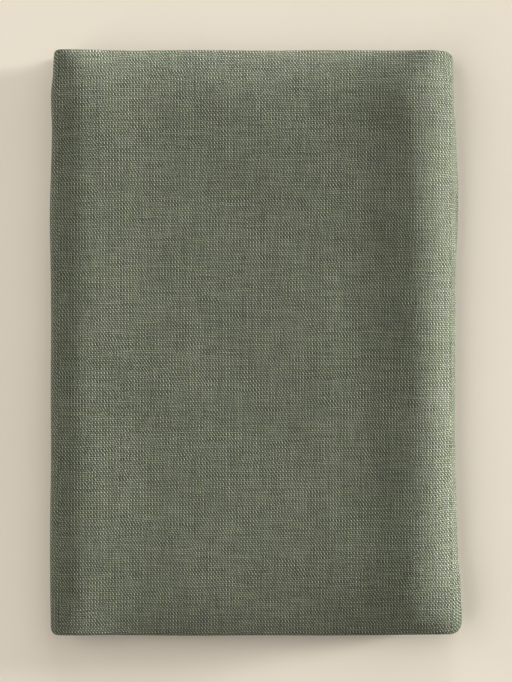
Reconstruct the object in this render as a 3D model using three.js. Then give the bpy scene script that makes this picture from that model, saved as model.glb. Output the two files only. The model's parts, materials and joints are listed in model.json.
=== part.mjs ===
// A coarse linen tablecloth, folded to a soft flat packet.
//
// The cloth is 1450 x 2000 mm. It is folded in four across its width, to a strip 362.5 mm wide, then
// doubled across its length and folded zigzag in four, to panels 250 mm wide. So the packet holds
// 4 panels on top of each other, each panel holds 2 leaves, and each leaf holds 4 layers of cloth.
//
// Frame, in millimetres: X runs across the panels and Y along the long sides. Z is up, and z = 0 is
// the surface that the packet lies on. The front is at -Y and the back at +Y.
//
// Body "lower" is panels 1 and 2. Body "middle" is panel 3, which turns on the left crease.
// Body "upper" is panel 4, which turns on the upper right crease.

import * as THREE from 'three';

// Driving dimensions
const CLOTH_WIDTH = 1450;
const CLOTH_LENGTH = 2000;
const STRIPS_ACROSS = 4;
const PANELS_ALONG = 8;
const LAYER_PITCH = 0.75; // one layer of cloth, with the air that lies under it
const LAYERS_PER_LEAF = 4;
const LEAVES = 8;
const GAP = 0.3; // clearance between pieces that touch
const CREASE_DEPTH = 4.5; // how far a crease stands out past the panels that it joins
const CENTRE_FOLD_DEPTH = 4.2; // the centre fold laps over the left crease
const FRONT_FOLD_DEPTH = 2.4;
const BACK_FOLD_DEPTH = 1.5;
const SHINGLE_STEP = 0.8; // each leaf ends this much further back than the leaf below it
const SIDE_HEM_WIDTH = 12;
const END_HEM_WIDTH = 14;
const HEM_SETBACK = 6; // from the back fold to the edge of the hems inside it
const THREAD_WIDTH = 0.6;
const ARC_STEPS = 8;

// Derived sizes
const PACKET_LENGTH = CLOTH_WIDTH / STRIPS_ACROSS;
const PACKET_WIDTH = CLOTH_LENGTH / PANELS_ALONG;
const LEAF_HEIGHT = LAYER_PITCH * LAYERS_PER_LEAF;
const PANEL_HEIGHT = 2 * LEAF_HEIGHT;
const PACKET_HEIGHT = LEAF_HEIGHT * LEAVES;
const LEFT_HINGE_X = -PACKET_WIDTH / 2 + CREASE_DEPTH;
const RIGHT_HINGE_X = PACKET_WIDTH / 2 - CREASE_DEPTH;
const FRONT_Y = -PACKET_LENGTH / 2;
const BACK_Y = PACKET_LENGTH / 2;

const linen = { color: 0x70735f, roughness: 0.95, metalness: 0 };
const foldedLinen = { color: 0x7a7d69, roughness: 0.95, metalness: 0 };
const hemLinen = { color: 0x656855, roughness: 0.95, metalness: 0 };
const sewingThread = { color: 0x5c6150, roughness: 0.8, metalness: 0 };

const ALONG_Y = new THREE.Matrix4().makeRotationX(Math.PI / 2);
const ALONG_X = new THREE.Matrix4().makeBasis(
  new THREE.Vector3(0, 1, 0),
  new THREE.Vector3(0, 0, 1),
  new THREE.Vector3(1, 0, 0),
);

const tablecloth = new THREE.Group();
const lower = new THREE.Group();
const middle = new THREE.Group();
const upper = new THREE.Group();
tablecloth.add(lower, middle, upper);

function addMesh(group, name, geometry, finish, x, y, z) {
  const mesh = new THREE.Mesh(geometry, new THREE.MeshStandardMaterial(finish));
  mesh.name = name;
  mesh.position.set(x, y, z);
  group.add(mesh);
}

// A profile drawn in Y and Z, extruded along +X from x = 0.
function extrudeAlongX(shape, length) {
  const options = { depth: length, bevelEnabled: false, curveSegments: ARC_STEPS };
  return new THREE.ExtrudeGeometry(shape, options).applyMatrix4(ALONG_X);
}

// A profile drawn in X and Z, extruded along -Y from y = 0.
function extrudeAlongY(shape, length) {
  const options = { depth: length, bevelEnabled: false, curveSegments: ARC_STEPS };
  return new THREE.ExtrudeGeometry(shape, options).applyMatrix4(ALONG_Y);
}

function polygon(points) {
  return new THREE.Shape(points.map(([a, b]) => new THREE.Vector2(a, b)));
}

// Half an ellipse with its flat side on the origin. side is 1 to bulge to the right, or -1 to the left.
function halfRound(depth, halfHeight, side) {
  const turn = (-side * Math.PI) / 2;
  const shape = new THREE.Shape();
  shape.absellipse(0, 0, depth, halfHeight, turn, turn + Math.PI, false, 0);
  shape.closePath();
  return shape;
}

// Half a ring, elliptical like halfRound, between an inner and an outer curve.
function halfRing(depth, halfHeight, wall, wallHeight, side) {
  const turn = (-side * Math.PI) / 2;
  const shape = new THREE.Shape();
  shape.absellipse(0, 0, depth, halfHeight, turn, turn + Math.PI, false, 0);
  shape.absellipse(0, 0, depth - wall, halfHeight - wallHeight, turn + Math.PI, turn, true, 0);
  shape.closePath();
  return shape;
}

// Leaves count from 0 at the bottom to 7 at the top.
function leafBottom(leaf) {
  return leaf * LEAF_HEIGHT + (leaf === 0 ? 0 : GAP / 2);
}

function leafTop(leaf) {
  return (leaf + 1) * LEAF_HEIGHT - (leaf === LEAVES - 1 ? 0 : GAP / 2);
}

function leafFrontY(leaf) {
  return FRONT_Y + leaf * SHINGLE_STEP;
}

// The two centre layers of the cloth are folded at the back of a leaf, above or below its two hems.
// They lie on the outside of every panel, so they are low in the lower leaf and high in the upper one.
function foldIsLow(leaf) {
  return leaf % 2 === 0;
}

function leafName(leaf) {
  const panel = Math.floor(leaf / 2) + 1;
  return `panel${panel}_${leaf % 2 === 0 ? 'lower' : 'upper'}_leaf`;
}

function bodyOf(leaf) {
  if (leaf < 4) return lower;
  return leaf < 6 ? middle : upper;
}

// The leaves of panel 1 start beside the end hems and their thread.
function leafLeftX(leaf) {
  const edge = LEFT_HINGE_X + GAP;
  return leaf < 2 ? edge + END_HEM_WIDTH + THREAD_WIDTH + 2 * GAP : edge;
}

// The step in a leaf's back end, which leaves room for the side hems and their thread.
function hemStepY() {
  return BACK_Y - HEM_SETBACK - SIDE_HEM_WIDTH - THREAD_WIDTH - 2 * GAP;
}

function addLeaf(leaf) {
  const low = leafBottom(leaf);
  const high = leafTop(leaf);
  const mid = (leaf + 0.5) * LEAF_HEIGHT;
  const front = leafFrontY(leaf) + FRONT_FOLD_DEPTH + GAP;
  const back = BACK_Y - BACK_FOLD_DEPTH - GAP;
  const step = hemStepY();
  const profile = foldIsLow(leaf)
    ? [[front, low], [back, low], [back, mid - GAP / 2], [step, mid - GAP / 2], [step, high], [front, high]]
    : [[front, low], [step, low], [step, mid + GAP / 2], [back, mid + GAP / 2], [back, high], [front, high]];
  const left = leafLeftX(leaf);
  const geometry = extrudeAlongX(polygon(profile), RIGHT_HINGE_X - GAP - left);
  addMesh(bodyOf(leaf), leafName(leaf), geometry, linen, left, 0, 0);
}

// The four layers turn back on themselves at the front, in two nested loops.
function addFrontFold(leaf) {
  const low = leafBottom(leaf);
  const high = leafTop(leaf);
  const left = leafLeftX(leaf);
  const shape = halfRound(FRONT_FOLD_DEPTH, (high - low) / 2, -1);
  const geometry = extrudeAlongX(shape, RIGHT_HINGE_X - GAP - left);
  const y = leafFrontY(leaf) + FRONT_FOLD_DEPTH;
  addMesh(bodyOf(leaf), `${leafName(leaf)}_front_fold`, geometry, foldedLinen, left, y, (low + high) / 2);
}

// At the back only the two centre layers are joined.
function addBackFold(leaf) {
  const mid = (leaf + 0.5) * LEAF_HEIGHT;
  const low = foldIsLow(leaf) ? leafBottom(leaf) : mid + GAP / 2;
  const high = foldIsLow(leaf) ? mid - GAP / 2 : leafTop(leaf);
  const left = leafLeftX(leaf);
  const shape = halfRound(BACK_FOLD_DEPTH, (high - low) / 2, 1);
  const geometry = extrudeAlongX(shape, RIGHT_HINGE_X - GAP - left);
  const y = BACK_Y - BACK_FOLD_DEPTH;
  addMesh(bodyOf(leaf), `${leafName(leaf)}_back_fold`, geometry, foldedLinen, left, y, (low + high) / 2);
}

// The hems of the cloth's two long sides lie on each other in the step at the back of a leaf,
// and their row of stitches lies along their inner edge.
function addSideHem(leaf) {
  const mid = (leaf + 0.5) * LEAF_HEIGHT;
  const low = foldIsLow(leaf) ? mid + GAP / 2 : leafBottom(leaf);
  const high = foldIsLow(leaf) ? leafTop(leaf) : mid - GAP / 2;
  const left = leafLeftX(leaf);
  const length = RIGHT_HINGE_X - GAP - left;
  const step = hemStepY();
  const x = left + length / 2;
  const z = (low + high) / 2;
  const hem = new THREE.BoxGeometry(length, SIDE_HEM_WIDTH, high - low);
  const hemY = BACK_Y - HEM_SETBACK - SIDE_HEM_WIDTH / 2;
  addMesh(bodyOf(leaf), `${leafName(leaf)}_side_hem`, hem, hemLinen, x, hemY, z);
  const thread = new THREE.BoxGeometry(length, THREAD_WIDTH, high - low);
  const threadY = step + GAP + THREAD_WIDTH / 2;
  addMesh(bodyOf(leaf), `${leafName(leaf)}_side_thread`, thread, sewingThread, x, threadY, z);
}

// The cloth's two short ends finish at the left of panel 1, one above the other.
function addEndHem(leaf) {
  const low = leafBottom(leaf);
  const high = leafTop(leaf);
  const front = leafFrontY(leaf);
  const length = BACK_Y - front;
  const y = (front + BACK_Y) / 2;
  const z = (low + high) / 2;
  const left = LEFT_HINGE_X + GAP;
  const name = leaf === 0 ? 'lower_end' : 'upper_end';
  const hem = new THREE.BoxGeometry(END_HEM_WIDTH, length, high - low);
  addMesh(lower, `${name}_hem`, hem, hemLinen, left + END_HEM_WIDTH / 2, y, z);
  const thread = new THREE.BoxGeometry(THREAD_WIDTH, length, high - low);
  const threadX = left + END_HEM_WIDTH + GAP + THREAD_WIDTH / 2;
  addMesh(lower, `${name}_thread`, thread, sewingThread, threadX, y, z);
}

// A crease joins two panels of two leaves each. Its outer loop joins their outer leaves, and its
// inner loop their inner ones. side is 1 at the right of the packet, or -1 at its left.
function addCrease(group, name, z, side, x, firstLeaf) {
  const outerHalfHeight = PANEL_HEIGHT - GAP / 2;
  const innerHalfHeight = LEAF_HEIGHT - GAP / 2;
  const outerWall = CREASE_DEPTH / 2 - GAP / 2;
  const innerDepth = CREASE_DEPTH / 2 - GAP / 2;
  const wallHeight = outerHalfHeight - LEAF_HEIGHT - GAP / 2;
  const outer = halfRing(CREASE_DEPTH, outerHalfHeight, outerWall, wallHeight, side);
  const inner = halfRound(innerDepth, innerHalfHeight, side);
  const length = BACK_Y - leafFrontY(firstLeaf);
  addMesh(group, `${name}_outer_loop`, extrudeAlongY(outer, length), foldedLinen, x, BACK_Y, z);
  addMesh(group, `${name}_inner_loop`, extrudeAlongY(inner, length), foldedLinen, x, BACK_Y, z);
}

// The fold across the middle of the cloth joins the two leaves of panel 4 at its left, over the left
// crease. It gives way when that crease opens.
function addCentreFold() {
  const low = leafBottom(LEAVES - 2);
  const high = leafTop(LEAVES - 1);
  const shape = halfRound(CENTRE_FOLD_DEPTH, (high - low) / 2, -1);
  const geometry = extrudeAlongY(shape, BACK_Y - leafFrontY(LEAVES - 2));
  addMesh(upper, 'centre_fold', geometry, foldedLinen, LEFT_HINGE_X, BACK_Y, (low + high) / 2);
}

for (let leaf = 0; leaf < LEAVES; leaf += 1) {
  addLeaf(leaf);
  addFrontFold(leaf);
  addBackFold(leaf);
  addSideHem(leaf);
}
addEndHem(0);
addEndHem(1);
addCrease(lower, 'lower_right_crease', PANEL_HEIGHT, 1, RIGHT_HINGE_X, 0);
addCrease(lower, 'left_crease', PACKET_HEIGHT / 2, -1, LEFT_HINGE_X, 2);
addCrease(middle, 'upper_right_crease', PACKET_HEIGHT - PANEL_HEIGHT, 1, RIGHT_HINGE_X, 4);
addCentreFold();

export default tablecloth;
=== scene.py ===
import json
import math

import bpy
import numpy as np
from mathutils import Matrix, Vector


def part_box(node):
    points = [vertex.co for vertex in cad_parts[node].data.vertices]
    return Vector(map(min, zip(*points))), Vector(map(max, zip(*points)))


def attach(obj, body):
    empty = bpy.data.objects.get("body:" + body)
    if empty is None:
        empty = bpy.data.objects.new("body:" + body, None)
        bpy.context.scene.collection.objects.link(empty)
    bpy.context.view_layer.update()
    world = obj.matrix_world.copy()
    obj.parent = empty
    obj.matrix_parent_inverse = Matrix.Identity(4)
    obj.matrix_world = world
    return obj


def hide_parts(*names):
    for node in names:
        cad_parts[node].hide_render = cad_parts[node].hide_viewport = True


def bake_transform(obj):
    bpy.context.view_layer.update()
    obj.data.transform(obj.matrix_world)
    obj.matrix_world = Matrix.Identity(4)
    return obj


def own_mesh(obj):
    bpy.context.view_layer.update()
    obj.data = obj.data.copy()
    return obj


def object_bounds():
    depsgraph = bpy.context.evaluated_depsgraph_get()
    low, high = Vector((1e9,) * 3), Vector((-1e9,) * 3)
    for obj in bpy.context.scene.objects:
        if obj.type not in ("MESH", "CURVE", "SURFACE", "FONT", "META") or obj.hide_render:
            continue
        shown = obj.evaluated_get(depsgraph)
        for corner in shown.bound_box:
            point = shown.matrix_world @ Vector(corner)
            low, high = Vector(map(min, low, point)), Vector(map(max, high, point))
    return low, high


# A coarse linen tablecloth, folded to a soft flat packet, with every layer of cloth as a thin shell.
#
# Lengths are in millimetres until a mesh is made. A shape is first laid out on flat, even layers, the
# "nominal" packet of the CAD model. warp() then bends that whole space at once: it pinches the panels
# towards their creases, rounds the ends and corners, and gives the top its gentle relief. Layers that
# lie clear of each other in the nominal packet stay clear after it.

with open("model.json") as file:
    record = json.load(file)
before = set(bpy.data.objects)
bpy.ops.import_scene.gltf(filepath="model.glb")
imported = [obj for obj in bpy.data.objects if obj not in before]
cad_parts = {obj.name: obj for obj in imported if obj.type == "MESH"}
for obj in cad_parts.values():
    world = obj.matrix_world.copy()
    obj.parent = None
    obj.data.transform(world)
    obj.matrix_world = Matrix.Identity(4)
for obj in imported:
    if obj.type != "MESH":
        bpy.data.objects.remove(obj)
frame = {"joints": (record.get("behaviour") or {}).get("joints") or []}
CAD_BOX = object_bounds()

# Sizes that come from the frame
MM = 0.001
LEAVES = 8
PLIES = 4
LOW, HIGH = (np.array(corner) / MM for corner in CAD_BOX)
FRONT, BACK, TOP = LOW[1], HIGH[1], HIGH[2]
LEAF = TOP / LEAVES
PANEL = 2 * LEAF
PITCH = LEAF / PLIES
HINGES = {joint["name"]: np.array(joint["pos_m"]) / MM for joint in frame["joints"]}
LEFT_X = HINGES["left_crease_fold"][0]
RIGHT_X = HINGES["upper_right_crease_fold"][0]
END_HEM_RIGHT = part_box("lower_end_hem")[1].x / MM

# Driving dimensions of the cloth
HALF_THICK = 0.31
HEM_HALF_THICK = 0.36
HEM_EDGE_REACH = 0.7
HEM_EDGE_SHARE = 0.12
FRONT_LOOP_DEPTH = 2.1
INNER_LOOP_DEPTH = 1.0
BACK_LOOP_DEPTH = 1.1
SIDE_HEM_WIDTH = 12
HEM_SETBACK = 6
STITCH_PITCH = 3.2
STITCH_LENGTH = 2.6
STITCH_RADIUS = 0.2
STITCH_SIDES = 6
STITCH_RINGS = 5
STITCH_SINK = 0.1
SIDE_ROW_INSET = 1.2
END_ROW_INSET = 1.6
WARP_PITCH = 0.91
WEFT_PITCH = 1.255

# Driving dimensions of the packet's soft shape
LEFT_ROLL = 17
LEFT_PINCH = 0.15
RIGHT_ROLL = 26
RIGHT_PINCH = 0.48
OUTER_RADIUS = PANEL - PITCH / 2 + HALF_THICK
CENTRE_RADIUS = LEAF - PITCH / 2 + HALF_THICK
LEFT_CREASE_INSET = 0.9
LEAST_PINCH = 0.1
SEAM_GAP = 0.06
NUDGE = 0.01
UNDER_FOLD_GAP = 0.35
UNDER_FOLD_LEAF = LEAVES - 3
SHOULDER = 20
SHOULDER_DROP = 5.9
FRONT_SLOPE = 30
FRONT_DROP = 3.3
BACK_SLOPE = 26
BACK_DROP = 4.8
RELIEF_MARGIN = 34
ROUNDING_REACH = 30
RIGHT_CORNER = 8
LEFT_CORNER = 4.5
RIGHT_ROUNDING = 6.0
LEFT_ROUNDING = 2.6

# How far the folded sides stand out past the hinge lines, from front to back: (y, depth)
RIGHT_DEPTHS = [
    (-181, 6.4), (-150, 6.0), (-125, 4.6), (-70, 3.4), (30, 3.6),
    (92, 5.2), (131, 4.0), (146, 2.4), (181, 2.2),
]
LEFT_DEPTHS = [
    (-181, 5.4), (-150, 5.9), (-60, 5.3), (40, 5.3), (80, 5.9),
    (131, 4.7), (152, 5.2), (170, 3.8), (181, 3.4),
]

# How steep the right shoulder is, from front to back: (y, share)
SHOULDER_SHARES = [
    (-173, 0.0), (-155, 0.25), (-125, 0.8), (-84, 0.95), (-30, 1.1),
    (20, 1.1), (90, 0.95), (125, 0.85), (150, 0.9), (165, 1.15),
]


def smooth(share):
    share = np.clip(share, 0, 1)
    return share * share * (3 - 2 * share)


def ramp(value, start, end):
    """0 at start and 1 at end, with a smooth step between them."""
    return smooth((value - start) / (end - start))


def eased(points, value):
    """A smooth curve through a few (place, height) points."""
    total = np.full_like(value, points[0][1], dtype=float)
    for (start, before), (end, after) in zip(points, points[1:]):
        total += (after - before) * ramp(value, start, end)
    return total


def waves(seed, count, shortest, longest):
    """A soft random surface, from -1 to 1, made of a few crossing waves."""
    random = np.random.default_rng(seed)
    turn = random.uniform(0, math.pi, count)
    length = random.uniform(shortest, longest, count)
    phase = random.uniform(0, 2 * math.pi, count)

    def height(a, b):
        total = 0
        for t, l, p in zip(turn, length, phase):
            total = total + np.sin(2 * math.pi * (a * math.cos(t) + b * math.sin(t)) / l + p)
        return total / count

    return height


broad_waves = waves(3, 6, 60, 150)
short_waves = waves(5, 7, 16, 45)
edge_waves = waves(8, 5, 5, 11)
outline_waves = waves(11, 5, 30, 90)
layer_waves = waves(14, 5, 4.5, 9)


def relief(x, y):
    """How much lower than its highest place the top lies, from one side to the other."""
    ridge = 1.1 * ramp(x, -104, -60)
    middle = 0.5 * ramp(x, -68, 40)
    rib = 0.5 * ramp(x, 43, 58) * ramp(y, -120, -90) * ramp(y, 80, 55)
    valley = -2.1 * ramp(x, 64, 101)
    front_end = FRONT_DROP * np.clip((FRONT + FRONT_SLOPE - y) / FRONT_SLOPE, 0, 1) ** 2
    back_end = BACK_DROP * np.clip((y - BACK + BACK_SLOPE) / BACK_SLOPE, 0, 1) ** 2
    noise = 0.35 * (1 + broad_waves(x, y)) + 0.14 * (1 + short_waves(x, y))
    inside = ramp(x, LEFT_X, LEFT_X + RELIEF_MARGIN) * ramp(x, RIGHT_X, RIGHT_X - RELIEF_MARGIN)
    onto_shoulder = np.clip((x - RIGHT_X + SHOULDER) / SHOULDER, 0, 1.2)
    shoulder = SHOULDER_DROP * eased(SHOULDER_SHARES, y) * onto_shoulder**3
    return (ridge + middle + rib + valley + front_end + back_end + noise) * inside + shoulder


def top_panel_squeeze(y):
    """The share of its thickness that the top panel keeps near its ends."""
    front = 0.30 * ramp(y, FRONT + 52, FRONT + 8) + 0.36 * np.clip((FRONT + 15 - y) / 15, 0, 1.1) ** 2
    back = 0.26 * ramp(y, BACK - 40, BACK - 4) + 0.26 * np.clip((y - BACK + 9) / 9, 0, 1.1) ** 2
    return 1 - front - back


def stand_out(x, y, z):
    """Moves the creases in or out, because the sides stand out by depths of their own."""
    ripple = 0.05 * outline_waves(y, 9 * z)
    right_scale = eased(RIGHT_DEPTHS, y) / OUTER_RADIUS * (1 + ripple)
    left_depth = eased(LEFT_DEPTHS, y) + 0.25 * outline_waves(y, 9 * z + 50)
    centre_fold_scale = left_depth / CENTRE_RADIUS
    crease_scale = (left_depth - LEFT_CREASE_INSET) / OUTER_RADIUS
    left_scale = np.where(z > 3 * PANEL, centre_fold_scale, crease_scale)
    past_right = np.maximum(0, x - RIGHT_X)
    past_left = np.maximum(0, LEFT_X - x)
    moved = np.clip(x, LEFT_X, RIGHT_X) + past_right * right_scale - past_left * left_scale
    below_creases = (z < PANEL) & (x < LEFT_X)
    return np.where(below_creases, x, moved)


def vary_layers(x, y, z):
    """Varies the layers' heights a little, away from the creases and the packet's faces."""
    free = ramp(x, LEFT_X, LEFT_X + 20) * ramp(x, RIGHT_X, RIGHT_X - 20)
    from_face = np.clip(np.minimum(z, TOP - z) / 3, 0, 1)
    return z + 0.16 * layer_waves(z, y / 9 + x / 11) * free * from_face


def quarter_round(share):
    """0 at a share of 0, and close to 1 at a share of 1, along a quarter circle."""
    return 1 - np.sqrt(1 - 0.98 * share**2)


def round_ends(x, y, z):
    """Rounds the ends and corners, and lets the layers end unevenly."""
    at_front = ramp(y, FRONT + ROUNDING_REACH, FRONT + 2)
    at_back = ramp(y, BACK - ROUNDING_REACH, BACK - 2)
    right_edge = RIGHT_X + eased(RIGHT_DEPTHS, y)
    left_edge = LEFT_X - eased(LEFT_DEPTHS, y)
    into_right = np.clip((x - right_edge + RIGHT_CORNER) / RIGHT_CORNER, 0, 1)
    into_left = np.clip((left_edge + LEFT_CORNER - x) / LEFT_CORNER, 0, 1)
    rounding = RIGHT_ROUNDING * quarter_round(into_right) + LEFT_ROUNDING * quarter_round(into_left)
    lean = 0.8 * ramp(x, -60, LEFT_X) + 1.6 * ramp(x, 70, RIGHT_X)
    uneven = 0.5 * (1 + edge_waves(z * 1.4, y * 0 + x / 14)) * ramp(z, TOP - 1.5, TOP - 5)
    front_inset = 0.9 + rounding + lean + uneven + 0.3 * outline_waves(x, 0 * x)
    back_inset = 0.7 + 0.8 * rounding + 0.4 * lean + uneven + 0.3 * outline_waves(x + 77, 0 * x)
    return y + front_inset * at_front - back_inset * at_back


def pinch_panels(x, y, z):
    """Pinches the panels towards their creases."""
    into_right = np.maximum(0, x - RIGHT_X + RIGHT_ROLL) / RIGHT_ROLL
    into_left = np.maximum(0, LEFT_X + LEFT_ROLL - x) / LEFT_ROLL
    right = np.maximum(1 - RIGHT_PINCH * into_right**2, LEAST_PINCH)
    left = np.maximum(1 - LEFT_PINCH * into_left**2, LEAST_PINCH)
    bottoms = [
        PANEL * (1 - right),
        PANEL * (2 - left),
        PANEL * (3 - right),
        PANEL * (2 + left),
    ]
    tops = [
        PANEL + 0 * x,
        PANEL * (1 + right),
        PANEL * (2 + left),
        PANEL * (2 + left) + PANEL * (left + right - 1) * top_panel_squeeze(y),
    ]
    panel = np.clip(np.floor(z / PANEL), 0, 3).astype(int)
    share = z / PANEL - panel
    bottom = np.choose(panel, bottoms)
    top = np.choose(panel, tops)
    return bottom + (top - bottom) * share


def warp(point):
    """Bends the nominal packet, in millimetres, to its soft shape, in millimetres."""
    x, y, z = np.moveaxis(point, -1, 0)
    x = stand_out(x, y, z)
    z = vary_layers(x, y, z)
    y = round_ends(x, y, z)
    z = pinch_panels(x, y, z)
    z = z * (1 - relief(x, y) / TOP)
    return np.stack([x, y, z], -1)


# Sections: the path of the cloth through one leaf, in y and in height above the leaf's middle.
# A row holds side A and side B of the cloth, their directions, and the length along the cloth.


def spaced(start, end, fine, coarse, reach):
    """Places from start to end, close together within reach of both ends."""
    length = abs(end - start)
    reach = min(reach, length / 2.2)
    near = max(2, round(reach / fine))
    far = max(2, round((length - 2 * reach) / coarse))
    parts = [
        np.linspace(0, reach, near, endpoint=False),
        np.linspace(reach, length - reach, far, endpoint=False),
        np.linspace(length - reach, length, near + 1),
    ]
    return start + np.sign(end - start) * np.concatenate(parts)


def straight(start, end, height, a_side, half=HALF_THICK, fine=2.0, coarse=9.0):
    """A flat run of cloth. Side A faces up where a_side is 1, and down where it is -1. half is half of
    the cloth's thickness, or a function that gives it at a place."""
    y = spaced(start, end, fine, coarse, 18)
    way = np.sign(end - start)
    rows = []
    for place in y:
        thick = half if np.isscalar(half) else half(place)
        rows.append([
            (place, height + a_side * thick, way, 0),
            (place, height - a_side * thick, way, 0),
        ])
    return np.array(rows, float)


def loop(centre, radii, way, start, end, a_side, half=HALF_THICK, steps=8):
    """A turn of the cloth, about a centre (y, height), with radii (depth, height). way is -1 at the front
    and 1 at the back. Side A is outside where a_side is 1."""
    rows = []
    turning = np.sign(end - start)
    for angle in np.radians(np.linspace(start, end, steps + 1)):
        sides = []
        for side in (a_side, -a_side):
            out, up = (radius + side * half for radius in radii)
            place = centre[0] + way * out * math.cos(angle)
            height = centre[1] + up * math.sin(angle)
            onward = -turning * way * out * math.sin(angle)
            upward = turning * up * math.cos(angle)
            sides.append((place, height, onward, upward))
        rows.append(sides)
    return np.array(rows, float)


FRONT_TURN = FRONT + FRONT_LOOP_DEPTH + HALF_THICK
BACK_TURN = BACK - BACK_LOOP_DEPTH - HALF_THICK
HEM_INNER = BACK - HEM_SETBACK - SIDE_HEM_WIDTH
HEM_OUTER = BACK - HEM_SETBACK
OUTER = 1.5 * PITCH
INNER = 0.5 * PITCH


def leaf_section(first=0, last=PLIES, hem_y=HEM_INNER, half=HALF_THICK, fine=2.0, coarse=9.0):
    """The cloth's path through the plies of a leaf from first up to last. A path that starts or ends
    between two plies takes half of the loop that joins them."""
    run = dict(half=half, fine=fine, coarse=coarse)
    parts = []

    def add_loop(place, centre, radii, way, start, end, a_side):
        middle = (start + end) / 2
        if place == first and first > 0:
            start = middle
        elif place == last and last < PLIES:
            end = middle
        elif not first < place < last:
            return
        parts.append(loop(centre, radii, way, start, end, a_side, half))

    def add_run(place, start, end, height, a_side):
        if first <= place < last:
            parts.append(straight(start, end, height, a_side, **run))

    add_run(0, hem_y, FRONT_TURN, -OUTER, -1)
    add_loop(1, (FRONT_TURN, 0), (FRONT_LOOP_DEPTH, OUTER), -1, -90, 90, 1)
    add_run(1, FRONT_TURN, BACK_TURN, OUTER, 1)
    add_loop(2, (BACK_TURN, PITCH), (BACK_LOOP_DEPTH, INNER), 1, 90, -90, 1)
    add_run(2, BACK_TURN, FRONT_TURN, INNER, -1)
    add_loop(3, (FRONT_TURN, 0), (INNER_LOOP_DEPTH, INNER), -1, 90, -90, -1)
    add_run(3, FRONT_TURN, hem_y, -INNER, 1)
    return join_rows(parts)


def join_rows(parts):
    """Joins runs and loops, and drops the rows that they share."""
    rows = [parts[0]]
    for part in parts[1:]:
        rows.append(part[1:])
    return np.concatenate(rows)


def cloth_length(section):
    """The length along the cloth at each row, along the middle of its thickness."""
    middle = section[:, :, :2].mean(1)
    steps = np.linalg.norm(np.diff(middle, axis=0), axis=1)
    return np.concatenate([[0], np.cumsum(steps)])


# Sweeps: a section carried along a panel, or turned round a crease.


def leaf_middle(leaf):
    return (leaf + 0.5) * LEAF


def leaf_sign(leaf):
    """The cloth's two centre layers lie high in an odd leaf and low in an even one."""
    return 1 if leaf % 2 else -1


def along_panel(section, leaf, xs):
    """Points of side A and B of the cloth on a panel, their directions along and across it, and a
    function that gives the cloth's width coordinate."""
    y, height, dy, dheight = np.moveaxis(section, -1, 0)
    sign, middle = leaf_sign(leaf), leaf_middle(leaf)
    shape = (len(section), 2, len(xs))
    flat = (y, middle + sign * height, dy, sign * dheight)
    y, z, dy, dz = (np.broadcast_to(values[:, :, None], shape) for values in flat)
    x = np.broadcast_to(xs, shape)
    points = np.stack([x, y, z], -1)
    along = np.stack([0 * x, dy, dz], -1)
    across = np.stack([1 + 0 * x, 0 * x, 0 * x], -1)
    return points, along, across, lambda place: np.broadcast_to(xs, place.shape[:2])


def round_crease(section, leaf, crease_height, side, steps=14):
    """The same, for the cloth that turns from a leaf below crease_height to the leaf above it."""
    y, height, dy, dheight = np.moveaxis(section, -1, 0)
    sign, middle = leaf_sign(leaf), leaf_middle(leaf)
    angles = np.radians(np.linspace(-90, 90, steps + 1))
    shape = (len(section), 2, len(angles))
    radius = crease_height - middle - sign * height
    flat = (y, radius, dy, -sign * dheight)
    y, r, dy, dr = (np.broadcast_to(values[:, :, None], shape) for values in flat)
    cos, sin = (np.broadcast_to(values, shape) for values in (np.cos(angles), np.sin(angles)))
    hinge_x = RIGHT_X if side > 0 else LEFT_X
    points = np.stack([hinge_x + side * r * cos, y, crease_height + r * sin], -1)
    along = np.stack([side * dr * cos, dy, dr * sin], -1)
    across = np.stack([-side * r * sin, 0 * r, r * cos], -1)

    def width(place):
        """The distance round the crease, counted on from the panel above it."""
        moves = np.linalg.norm(np.diff(place, axis=1), axis=-1)
        gone = np.concatenate([np.zeros((len(moves), 1)), np.cumsum(moves, axis=1)], axis=1)
        return hinge_x + side * (gone[:, -1:] - gone)

    return points, along, across, width


def unit(vectors, least=1e-12):
    return vectors / np.maximum(np.linalg.norm(vectors, axis=-1, keepdims=True), least)


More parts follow.
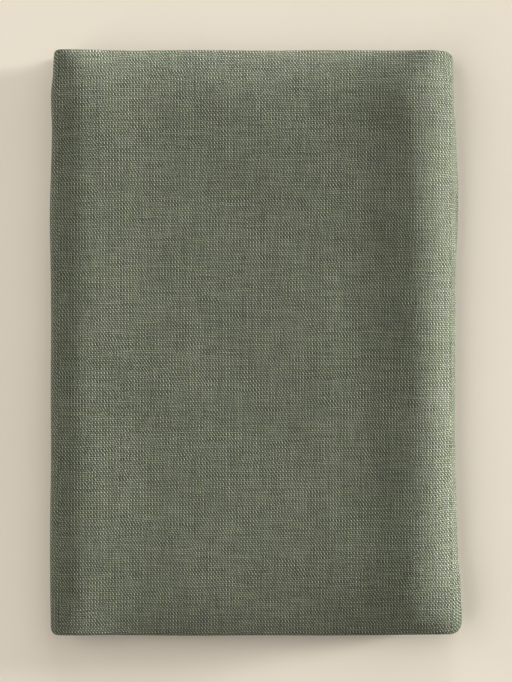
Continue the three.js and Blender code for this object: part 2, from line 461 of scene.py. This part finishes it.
def shell(name, sweep, section):
    """Makes the closed shell of a stretch of cloth, with its normals and its cloth coordinates."""
    points, along, across, width = sweep
    across, along = unit(across, 1e-9), unit(along, 1e-9)
    place = warp(points)
    down = warp(points + NUDGE * along) - warp(points - NUDGE * along)
    over = warp(points + NUDGE * across) - warp(points - NUDGE * across)
    normals = unit(np.cross(down, over))
    outward = place[:, 0] - place[:, 1]
    flip = np.sum(normals[:, 0] * outward) < 0
    normals[:, 1] *= -1
    if flip:
        normals *= -1

    rows, columns = place.shape[0], place.shape[2]
    index = np.arange(rows * columns).reshape(rows, columns)
    a, b = index, index + rows * columns
    faces = [
        quads(a[:-1, :-1], a[1:, :-1], a[1:, 1:], a[:-1, 1:]),
        quads(b[:-1, :-1], b[:-1, 1:], b[1:, 1:], b[1:, :-1]),
    ]
    rims = [
        quads(a[1:, 0], a[:-1, 0], b[:-1, 0], b[1:, 0]),
        quads(a[:-1, -1], a[1:, -1], b[1:, -1], b[:-1, -1]),
        quads(a[0, :-1], a[0, 1:], b[0, 1:], b[0, :-1]),
        quads(a[-1, 1:], a[-1, :-1], b[-1, :-1], b[-1, 1:]),
    ]
    faces, rims = np.concatenate(faces), np.concatenate(rims)
    if flip:
        faces, rims = faces[:, ::-1], rims[:, ::-1]
    vertices = np.concatenate([place[:, side].reshape(-1, 3) for side in (0, 1)])
    vertex_normals = np.concatenate([normals[:, side].reshape(-1, 3) for side in (0, 1)])
    length = cloth_length(section)
    across_cloth = width(place.mean(1))
    coordinates = np.stack(np.broadcast_arrays(across_cloth, length[:, None]), -1).reshape(-1, 2)
    coordinates = np.concatenate([coordinates, coordinates])
    return make_mesh(name, vertices, faces, rims, vertex_normals, coordinates)


def quads(*corners):
    return np.stack([c.ravel() for c in corners], -1)


def make_mesh(name, vertices, faces, rims, vertex_normals, coordinates):
    """A mesh object, in metres. The rims are the flat faces at the cloth's edges, and the second half of
    the vertices is the cloth's side B. On the rims the weave runs on through the thickness."""
    every = np.concatenate([faces, rims])
    mesh = bpy.data.meshes.new(name)
    mesh.from_pydata((vertices * MM).tolist(), [], every.tolist())
    mesh.polygons.foreach_set("use_smooth", np.ones(len(every), bool))
    uv = mesh.uv_layers.new(name="cloth")
    edge_coordinates = coordinates.copy()
    edge_coordinates[len(vertices) // 2:] += 2 * HALF_THICK
    placed = np.concatenate([coordinates[faces.ravel()], edge_coordinates[rims.ravel()]])
    uv.data.foreach_set("uv", (placed * MM).astype(np.float32).ravel())
    diagonal = vertices[rims[:, 2]] - vertices[rims[:, 0]]
    other_diagonal = vertices[rims[:, 3]] - vertices[rims[:, 1]]
    flat = unit(np.cross(diagonal, other_diagonal))
    corners = np.concatenate([vertex_normals[faces.ravel()], np.repeat(flat, 4, axis=0)])
    mesh.normals_split_custom_set(corners.tolist())
    mesh.update()
    thing = bpy.data.objects.new(name, mesh)
    bpy.context.scene.collection.objects.link(thing)
    return thing


# Materials


class Graph:
    """Builds a material's nodes from short expressions."""

    def __init__(self, name):
        self.material = bpy.data.materials.new(name)
        self.material.use_nodes = True
        self.nodes = self.material.node_tree.nodes
        self.links = self.material.node_tree.links
        self.nodes.clear()

    def node(self, kind, inputs=(), **settings):
        made = self.nodes.new(kind)
        for key, value in settings.items():
            setattr(made, key, value)
        for key, value in dict(inputs).items():
            self.set(made.inputs[key], value)
        return made

    def set(self, socket, value):
        if isinstance(value, bpy.types.NodeSocket):
            self.links.new(value, socket)
        else:
            socket.default_value = value

    def math(self, operation, *values):
        made = self.node("ShaderNodeMath", operation=operation)
        for socket, value in zip(made.inputs, values):
            self.set(socket, value)
        return made.outputs[0]

    def add(self, a, b):
        return self.math("ADD", a, b)

    def multiply(self, a, b):
        return self.math("MULTIPLY", a, b)

    def scale(self, value, low, high, to_low, to_high):
        inputs = {"Value": value, "From Min": low, "From Max": high, "To Min": to_low, "To Max": to_high}
        return self.node("ShaderNodeMapRange", inputs).outputs["Result"]

    def vary(self, value, low, high, amount):
        """1 - amount where value is low, and 1 + amount where it is high."""
        return self.scale(value, low, high, 1 - amount, 1 + amount)

    def point(self, x, y, z=0.0):
        return self.node("ShaderNodeCombineXYZ", {"X": x, "Y": y, "Z": z}).outputs[0]

    def noise(self, vector, scale, detail=2.0, roughness=0.5):
        inputs = {"Vector": vector, "Scale": scale, "Detail": detail, "Roughness": roughness}
        return self.node("ShaderNodeTexNoise", inputs).outputs[0]

    def random(self, vector):
        made = self.node("ShaderNodeTexWhiteNoise", {"Vector": vector}, noise_dimensions="3D")
        return made.outputs["Value"]

    def shift(self, vector, offset):
        return self.node("ShaderNodeVectorMath", {0: vector, 1: offset}, operation="ADD").outputs[0]

    def dim(self, colour, lightness):
        inputs = {0: colour, "Scale": lightness}
        return self.node("ShaderNodeVectorMath", inputs, operation="SCALE").outputs[0]

    def cloth_place(self):
        """The place on the cloth in metres, and its parts across and along the cloth."""
        place = self.node("ShaderNodeUVMap", uv_map="cloth").outputs[0]
        parts = self.node("ShaderNodeSeparateXYZ", {"Vector": place}).outputs
        return place, parts[0], parts[1]

    def finish(self, shader):
        output = self.node("ShaderNodeOutputMaterial")
        self.links.new(shader.outputs[0], output.inputs[0])
        return self.material

    def mix(self, factor, a, b, mode="MIX"):
        made = self.node("ShaderNodeMix", data_type="RGBA", blend_type=mode)
        self.set(made.inputs[0], factor)
        self.set(made.inputs[6], a)
        self.set(made.inputs[7], b)
        return made.outputs[2]


# Driving values of the materials. Colours are linear.
TWIST_SLANT = 0.88
WEFT_HEIGHT = 0.61
# The weave's lightness runs from the first of these, between the yarns, to the second, on their crowns:
# painted shade in the hollows and painted light on the crowns.
HOLLOW_PAINTED_SHADE = 0.01
CROWN_PAINTED_LIGHT = 3.5
THREAD_TWIST = 0.6
FLECK_COLOUR = (0.42, 0.36, 0.26)
THREAD_COLOUR = (0.13, 0.14, 0.098)
FLOOR_COLOURS = ((0.79, 0.72, 0.61), (0.81, 0.74, 0.63))
LINEN_COLOURS = ((0.115, 0.129, 0.086), (0.124, 0.134, 0.092))
# The hems' colours are the linen's, a little darker: painted shade on the hems.
SHADED_HEM_COLOURS = ((0.108, 0.121, 0.081), (0.117, 0.126, 0.087))


def yarns(graph, across, along, slub, seed):
    """One set of yarns: its rounded profile, its waving over and under, its thickness and its lightness.
    The yarns' twist slants each crown, so that the crowns, and the painted light on them, line up along
    one diagonal of the weave."""
    number = graph.math("FLOOR", across)
    profile = graph.math("ABSOLUTE", graph.math("SINE", graph.multiply(across, math.pi)))
    profile = graph.math("POWER", profile, 0.8)
    slant = graph.multiply(graph.math("SUBTRACT", graph.math("FRACT", across), 0.5), TWIST_SLANT)
    wave = graph.math("SINE", graph.multiply(graph.add(graph.add(along, number), slant), math.pi))
    yarn_place = graph.point(graph.multiply(number, 7.31), graph.multiply(along, slub), seed)
    thick = graph.noise(yarn_place, 1.0, 2.0, 0.6)
    shade = graph.random(graph.point(number, seed))
    return profile, wave, thick, shade


def woven_height(graph, x, y):
    """The height of the weave's surface, and the lightness of the yarn that lies on top. x counts warp
    yarns and y counts weft yarns."""
    warp_profile, warp_wave, warp_thick, warp_shade = yarns(graph, x, y, 0.09, 3.7)
    weft_profile, weft_wave, weft_thick, weft_shade = yarns(graph, y, x, 0.05, 9.2)
    warp_size = graph.multiply(warp_profile, graph.scale(warp_thick, 0.3, 0.7, 0.84, 1.12))
    weft_size = graph.multiply(weft_profile, graph.scale(weft_thick, 0.3, 0.7, 0.82, 1.18))
    warp_height = graph.multiply(warp_size, graph.scale(warp_wave, -1.0, 1.0, 0.0, 1.0))
    weft_height = graph.multiply(weft_size, graph.scale(weft_wave, 1.0, -1.0, 0.0, WEFT_HEIGHT))
    weft_on_top = graph.math("GREATER_THAN", weft_height, warp_height)
    inputs = {0: weft_on_top, 2: warp_shade, 3: weft_shade}
    shade = graph.node("ShaderNodeMix", inputs, data_type="FLOAT").outputs[0]
    return graph.math("MAXIMUM", warp_height, weft_height), shade


def cloth_material(name, colours):
    """Plain-woven linen: two sets of yarns of uneven thickness, with painted shade between them and
    painted light on their crowns, and a soft nap.
    """
    graph = Graph(name)
    place, width, length = graph.cloth_place()
    sway = graph.noise(place, 55.0, 2.0)
    other_sway = graph.noise(graph.shift(place, (3.1, 1.7, 0.4)), 70.0, 2.0)
    warp_yarns = graph.multiply(width, 1 / (WARP_PITCH * MM))
    weft_yarns = graph.multiply(length, 1 / (WEFT_PITCH * MM))
    x = graph.add(warp_yarns, graph.scale(sway, 0.3, 0.7, -0.5, 0.5))
    y = graph.add(weft_yarns, graph.scale(other_sway, 0.3, 0.7, -0.4, 0.4))
    height, shade = woven_height(graph, x, y)

    fibres = graph.noise(graph.point(graph.multiply(x, 0.9), graph.multiply(y, 0.9)), 1.6, 3.0, 0.7)
    patches = graph.noise(place, 18.0, 3.0, 0.6)
    # Alternate warp yarns lighter and darker: painted light and shade of the warp ridges lit from the
    # side.
    pairs = graph.math("SINE", graph.multiply(graph.add(x, 0.25), math.pi))
    # Painted shade in the hollows between the yarns and painted light on their crowns, taken from the
    # weave's height.
    lightness = graph.scale(height, 0.32, 0.88, HOLLOW_PAINTED_SHADE, CROWN_PAINTED_LIGHT)
    for variation in (
        graph.vary(shade, 0.0, 1.0, 0.05),
        graph.vary(fibres, 0.3, 0.7, 0.16),
        graph.vary(patches, 0.3, 0.7, 0.035),
        graph.vary(pairs, -1.0, 1.0, 0.25),
    ):
        lightness = graph.multiply(lightness, variation)

    tint = graph.mix(graph.scale(patches, 0.35, 0.65, 0.0, 1.0), (*colours[0], 1), (*colours[1], 1))
    flecks = graph.noise(graph.point(x, graph.multiply(y, 0.7)), 0.55, 2.0, 0.6)
    fleck = graph.math("GREATER_THAN", flecks, 0.735)
    tint = graph.mix(graph.multiply(fleck, 0.5), tint, (*FLECK_COLOUR, 1))

    nap = graph.noise(place, 2600.0, 2.0, 0.6)
    surface = graph.add(height, graph.multiply(nap, 0.25))
    bump_inputs = {"Strength": 1.0, "Distance": 0.0008, "Filter Width": 0.1, "Height": surface}
    bump = graph.node("ShaderNodeBump", bump_inputs)
    shader = graph.node("ShaderNodeBsdfPrincipled")
    graph.set(shader.inputs["Base Color"], graph.dim(tint, lightness))
    graph.set(shader.inputs["Roughness"], graph.scale(height, 0.0, 1.0, 0.98, 0.82))
    graph.set(shader.inputs["Normal"], bump.outputs[0])
    shader.inputs["Specular IOR Level"].default_value = 0.25
    shader.inputs["Sheen Weight"].default_value = 0.28
    shader.inputs["Sheen Roughness"].default_value = 0.4
    shader.inputs["Sheen Tint"].default_value = (0.95, 1.0, 0.93, 1)
    return graph.finish(shader)


def thread_material():
    """Spun sewing thread: two strands twisted together, with painted shade in the grooves between them.
    """
    graph = Graph("sewing_thread")
    place, lengthwise, around = graph.cloth_place()
    turns = 2 * math.pi / (THREAD_TWIST * MM)
    twist = graph.add(graph.multiply(lengthwise, turns), graph.multiply(around, turns))
    strand = graph.scale(graph.math("SINE", twist), -1.0, 1.0, 0.0, 1.0)
    fibres = graph.noise(place, 3000.0, 2.0)
    # Lighter on each strand and darker in the grooves between them: painted shade in the grooves.
    lightness = graph.multiply(graph.scale(strand, 0.0, 1.0, 0.7, 1.1), graph.vary(fibres, 0.3, 0.7, 0.1))
    bump = graph.node("ShaderNodeBump", {"Strength": 0.6, "Distance": 0.0001, "Height": strand})
    shader = graph.node("ShaderNodeBsdfPrincipled")
    graph.set(shader.inputs["Base Color"], graph.dim(THREAD_COLOUR, lightness))
    graph.set(shader.inputs["Roughness"], graph.scale(fibres, 0.3, 0.7, 0.6, 0.75))
    graph.set(shader.inputs["Normal"], bump.outputs[0])
    return graph.finish(shader)


def floor_material():
    """A smooth, pale cream surface with a faint mottling."""
    graph = Graph("floor")
    place = graph.node("ShaderNodeTexCoord").outputs["Object"]
    mottle = graph.scale(graph.noise(place, 9.0, 4.0, 0.6), 0.3, 0.7, 0.0, 1.0)
    colour = graph.mix(mottle, (*FLOOR_COLOURS[0], 1), (*FLOOR_COLOURS[1], 1))
    shader = graph.node("ShaderNodeBsdfPrincipled", {"Base Color": colour, "Roughness": 0.9})
    shader.inputs["Specular IOR Level"].default_value = 0.2
    return graph.finish(shader)


linen = cloth_material("linen", LINEN_COLOURS)
# A darker copy of the linen, as painted shade on the hems.
shaded_hem_linen = cloth_material("shaded_hem_linen", SHADED_HEM_COLOURS)
thread = thread_material()


# Pieces


def panel_name(leaf):
    return f"panel{leaf // 2 + 1}_{'upper' if leaf % 2 else 'lower'}"


def body_of(leaf):
    return ("lower", "lower", "middle", "upper")[leaf // 2]


def dress(thing, material):
    thing.data.materials.append(material)
    return thing


def panel_left(leaf):
    """Where a leaf's cloth starts. The end hems take the left end of the bottom panel, and the leaf under
    the centre fold stops short, to leave room for the fold."""
    if leaf < 2:
        return END_HEM_RIGHT
    return LEFT_X + (UNDER_FOLD_GAP if leaf == UNDER_FOLD_LEAF else 0)


def make_leaf(leaf):
    """The four layers of one leaf, with their front and back folds, as one piece of cloth."""
    finest = leaf == LEAVES - 1
    fine, coarse = (1.2, 5.0) if finest else (2.4, 9.0)
    section = leaf_section(fine=fine, coarse=coarse)
    xs = spaced(panel_left(leaf) + SEAM_GAP, RIGHT_X - SEAM_GAP, fine, coarse, 24)
    name = panel_name(leaf)
    cloth = dress(shell(f"{name}_cloth", along_panel(section, leaf, xs), section), linen)
    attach(cloth, body_of(leaf))
    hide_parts(f"{name}_leaf", f"{name}_leaf_front_fold", f"{name}_leaf_back_fold")
    return cloth


def hem_thickness(y):
    """A side hem's half thickness, rounded off at its two edges."""
    inside = min(y - HEM_INNER, HEM_OUTER - y)
    return HEM_HALF_THICK * math.sqrt(max(HEM_EDGE_SHARE, min(1.0, inside / HEM_EDGE_REACH)))


def make_side_hem(leaf):
    """The hems of the cloth's two long sides, turned twice and pressed, one above the other."""
    xs = spaced(panel_left(leaf) + SEAM_GAP, RIGHT_X - SEAM_GAP, 2.4, 9.0, 18)
    strips = []
    for count, height in enumerate((-OUTER, -INNER)):
        section = straight(HEM_INNER + 0.05, HEM_OUTER, height, 1, hem_thickness, fine=0.4, coarse=2.0)
        strips.append(shell(f"strip{count}", along_panel(section, leaf, xs), section))
    name = panel_name(leaf)
    hem = dress(joined(strips, f"{name}_side_hem_cloth"), shaded_hem_linen)
    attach(hem, body_of(leaf))
    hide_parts(f"{name}_leaf_side_hem")
    return hem


def joined(things, name):
    """Joins mesh objects into one, without changing their shapes or normals."""
    first = things[0]
    with bpy.context.temp_override(active_object=first, selected_editable_objects=things):
        bpy.ops.object.join()
    first.name = name
    first.data.name = name
    return first


def make_end_hem(leaf, name):
    """The hem of one short end of the cloth, folded in four like the leaf beside it."""
    section = leaf_section(hem_y=HEM_OUTER, half=HEM_HALF_THICK)
    xs = spaced(LEFT_X + 0.3, END_HEM_RIGHT, 1.0, 3.0, 4)
    hem = dress(shell(f"{name}_hem_cloth", along_panel(section, leaf, xs), section), shaded_hem_linen)
    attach(hem, "lower")
    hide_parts(f"{name}_hem")
    return hem


def stitches(name, centres, way):
    """A row of lockstitches: short, slightly sunken rolls of thread. way is the row's direction."""
    way = np.array(way, float)
    side = np.cross((0, 0, 1), way)
    sides, rings = STITCH_SIDES, STITCH_RINGS
    spread = np.linspace(-0.5, 0.5, rings)
    roundness = np.sqrt(np.maximum(0.06, 1 - (2 * spread) ** 4))
    angles = np.arange(sides) * 2 * math.pi / sides
    ring = np.stack([np.cos(angles), np.sin(angles)], -1) * STITCH_RADIUS
    along = spread[:, None, None] * STITCH_LENGTH * way
    across = ring[None, :, :1] * side * roundness[:, None, None]
    up = ring[None, :, 1:] * np.array((0, 0, 1)) * roundness[:, None, None]
    one = (along + across + up).reshape(-1, 3)
    vertices = np.concatenate([one + centre for centre in centres])
    index = np.arange(rings * sides).reshape(rings, sides)
    wrapped = np.concatenate([index, index[:, :1]], 1)
    wall = quads(wrapped[:-1, :-1], wrapped[:-1, 1:], wrapped[1:, 1:], wrapped[1:, :-1])
    count = len(one)
    faces, ends = [], []
    for number in range(len(centres)):
        faces.append(wall + number * count)
        ends.append(index[0][::-1] + number * count)
        ends.append(index[-1] + number * count)
    polygons = np.concatenate(faces).tolist() + [end.tolist() for end in ends]
    mesh = bpy.data.meshes.new(name)
    mesh.from_pydata((warp(vertices) * MM).tolist(), [], polygons)
    mesh.polygons.foreach_set("use_smooth", np.ones(len(mesh.polygons), bool))
    uv = mesh.uv_layers.new(name="cloth")
    corners = np.zeros(len(mesh.loops), np.int32)
    mesh.loops.foreach_get("vertex_index", corners)
    lengthwise = np.repeat(spread * STITCH_LENGTH, sides)
    around = np.tile(angles * STITCH_RADIUS, rings)
    coordinates = np.tile(np.stack([lengthwise, around], -1), (len(centres), 1))
    uv.data.foreach_set("uv", (coordinates[corners] * MM).astype(np.float32).ravel())
    mesh.update()
    thing = bpy.data.objects.new(name, mesh)
    bpy.context.scene.collection.objects.link(thing)
    return thing


def make_side_thread(leaf):
    """One row of stitches in each of the two side hems of a leaf."""
    sign, middle = leaf_sign(leaf), leaf_middle(leaf)
    xs = np.arange(panel_left(leaf) + 3, RIGHT_X - 2, STITCH_PITCH)
    y = HEM_INNER + SIDE_ROW_INSET
    up = HEM_HALF_THICK - STITCH_SINK
    centres = []
    for height in (-OUTER - up, -INNER + up):
        centres += [(x, y, middle + sign * height) for x in xs]
    name = panel_name(leaf)
    row = dress(stitches(f"{name}_side_stitches", np.array(centres), (1, 0, 0)), thread)
    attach(row, body_of(leaf))
    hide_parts(f"{name}_leaf_side_thread")
    return row


def make_end_thread(leaf, name):
    """The row of stitches along one end hem, on the outside of its folded layers."""
    sign, middle = leaf_sign(leaf), leaf_middle(leaf)
    ys = np.arange(FRONT_TURN + 3, BACK_TURN - 18, STITCH_PITCH)
    up = HEM_HALF_THICK - STITCH_SINK
    centres = []
    for height in (-OUTER - up, OUTER + up):
        centres += [(END_HEM_RIGHT - END_ROW_INSET, y, middle + sign * height) for y in ys]
    row = dress(stitches(f"{name}_stitches", np.array(centres), (0, 1, 0)), thread)
    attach(row, "lower")
    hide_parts(f"{name}_thread")
    return row


def make_lower_crease():
    """The crease between panels 1 and 2, which doesn't open."""
    made = []
    for leaf, part in ((0, "outer"), (1, "inner")):
        section = leaf_section(hem_y=HEM_OUTER)
        name = f"lower_right_crease_{part}"
        sweep = round_crease(section, leaf, PANEL, 1)
        cloth = dress(shell(f"{name}_cloth", sweep, section), linen)
        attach(cloth, "lower")
        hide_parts(f"{name}_loop")
        made.append(cloth)
    return made


def crease_ends(leaf, ply, height, x):
    """The lower and upper ends of one layer of a crease, in metres, midway between front and back."""
    ply_height = (-OUTER, OUTER, INNER, -INNER)[ply]
    radius = height - leaf_middle(leaf) - leaf_sign(leaf) * ply_height
    return [warp(np.array((x, 0.0, height + way * radius))) * MM for way in (-1, 1)]


def make_opening_crease(name, low_leaf, height, side):
    """A crease at one of the hinges. Each layer of cloth is a piece, bent round a radius of its own."""
    hinge_x = RIGHT_X if side > 0 else LEFT_X
    made = []
    for leaf, part in ((low_leaf, "outer"), (low_leaf + 1, "inner")):
        for ply in range(PLIES):
            section = leaf_section(ply, ply + 1, hem_y=HEM_OUTER)
            sweep = round_crease(section, leaf, height, side)
            piece = dress(shell(f"{name}_{part}_layer{ply + 1}", sweep, section), linen)
            start, end = crease_ends(leaf, ply, height, hinge_x)
            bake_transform(piece)
            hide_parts(f"{name}_{part}_loop")
            made.append(piece)
    return made


def make_centre_fold():
    """The fold across the middle of the cloth, which goes with the upper body."""
    section = leaf_section(hem_y=HEM_OUTER, fine=1.2, coarse=5.0)
    sweep = round_crease(section, LEAVES - 2, TOP - LEAF, -1, 18)
    cloth = dress(shell("centre_fold_cloth", sweep, section), linen)
    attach(cloth, "upper")
    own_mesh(cloth)
    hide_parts("centre_fold")
    return cloth


# Everything is made leaf by leaf, from the bottom up. joined_pieces lists the pieces that go with each
# leaf.
leaves = [make_leaf(leaf) for leaf in range(LEAVES)]
joined_pieces = [[make_side_hem(leaf), make_side_thread(leaf)] for leaf in range(LEAVES)]
for end_leaf, end_name in ((0, "lower_end"), (1, "upper_end")):
    joined_pieces[end_leaf] += [make_end_hem(end_leaf, end_name), make_end_thread(end_leaf, end_name)]
joined_pieces[1] += make_lower_crease()
joined_pieces[3] += make_opening_crease("left_crease", 2, 2 * PANEL, -1)
joined_pieces[5] += make_opening_crease("upper_right_crease", 4, 3 * PANEL, 1)
joined_pieces[7] += [make_centre_fold()]


# Floor, light and camera. PICTURE_LENGTH is what the picture's height spans at CAMERA_LEVEL, a share of
# the packet's height. Both lengths and the camera's place are in metres.
FLOOR_SIZE = 6
CAMERA_PLACE = (0.0003, 0.0012, 0.9)
CAMERA_LEVEL = 0.75
PICTURE_LENGTH = 0.4194


def make_floor():
    """A wide pale surface under the packet."""
    bpy.ops.mesh.primitive_plane_add(size=FLOOR_SIZE, location=(0, 0, 0))
    floor = bpy.context.object
    floor.name = "floor"
    floor.data.materials.append(floor_material())


def add_light(name, azimuth, elevation, spread, strength, colour):
    """A soft light from far away. azimuth is 0 from the right of the packet and 90 from its back, and
    spread is how wide the light looks from the packet, in degrees."""
    lamp = bpy.data.lights.new(name, "SUN")
    lamp.angle = math.radians(spread)
    lamp.energy = strength
    lamp.color = colour
    thing = bpy.data.objects.new(name, lamp)
    bpy.context.scene.collection.objects.link(thing)
    turn, rise = math.radians(azimuth), math.radians(elevation)
    level = math.cos(rise)
    direction = Vector((math.cos(turn) * level, math.sin(turn) * level, math.sin(rise)))
    thing.rotation_euler = direction.to_track_quat("Z", "Y").to_euler()


def make_world(strength, colour):
    """The even light of the room."""
    world = bpy.data.worlds.new("studio")
    world.use_nodes = True
    background = world.node_tree.nodes["Background"]
    background.inputs["Color"].default_value = (*colour, 1)
    background.inputs["Strength"].default_value = strength
    bpy.context.scene.world = world


def make_camera():
    """Straight overhead, with the packet filling the picture."""
    camera = bpy.data.cameras.new("camera")
    camera.sensor_width = 36
    distance = CAMERA_PLACE[2] - CAMERA_LEVEL * TOP * MM
    camera.lens = camera.sensor_width * distance / PICTURE_LENGTH
    thing = bpy.data.objects.new("camera", camera)
    thing.location = CAMERA_PLACE
    bpy.context.scene.collection.objects.link(thing)
    bpy.context.scene.camera = thing


make_floor()
make_world(0.245, (1.0, 0.95, 0.89))
add_light("side_light", 11, 2.8, 10, 12.6, (1.0, 1.0, 1.0))
add_light("back_light", 88, 2.2, 9, 4.5, (0.98, 1.0, 1.0))
add_light("window", 55, 45, 60, 0.80, (0.98, 1.0, 1.0))
add_light("far_wall", 178, 22, 90, 2.5, (1.0, 0.98, 0.95))
make_camera()
bpy.context.scene.view_settings.view_transform = "Standard"
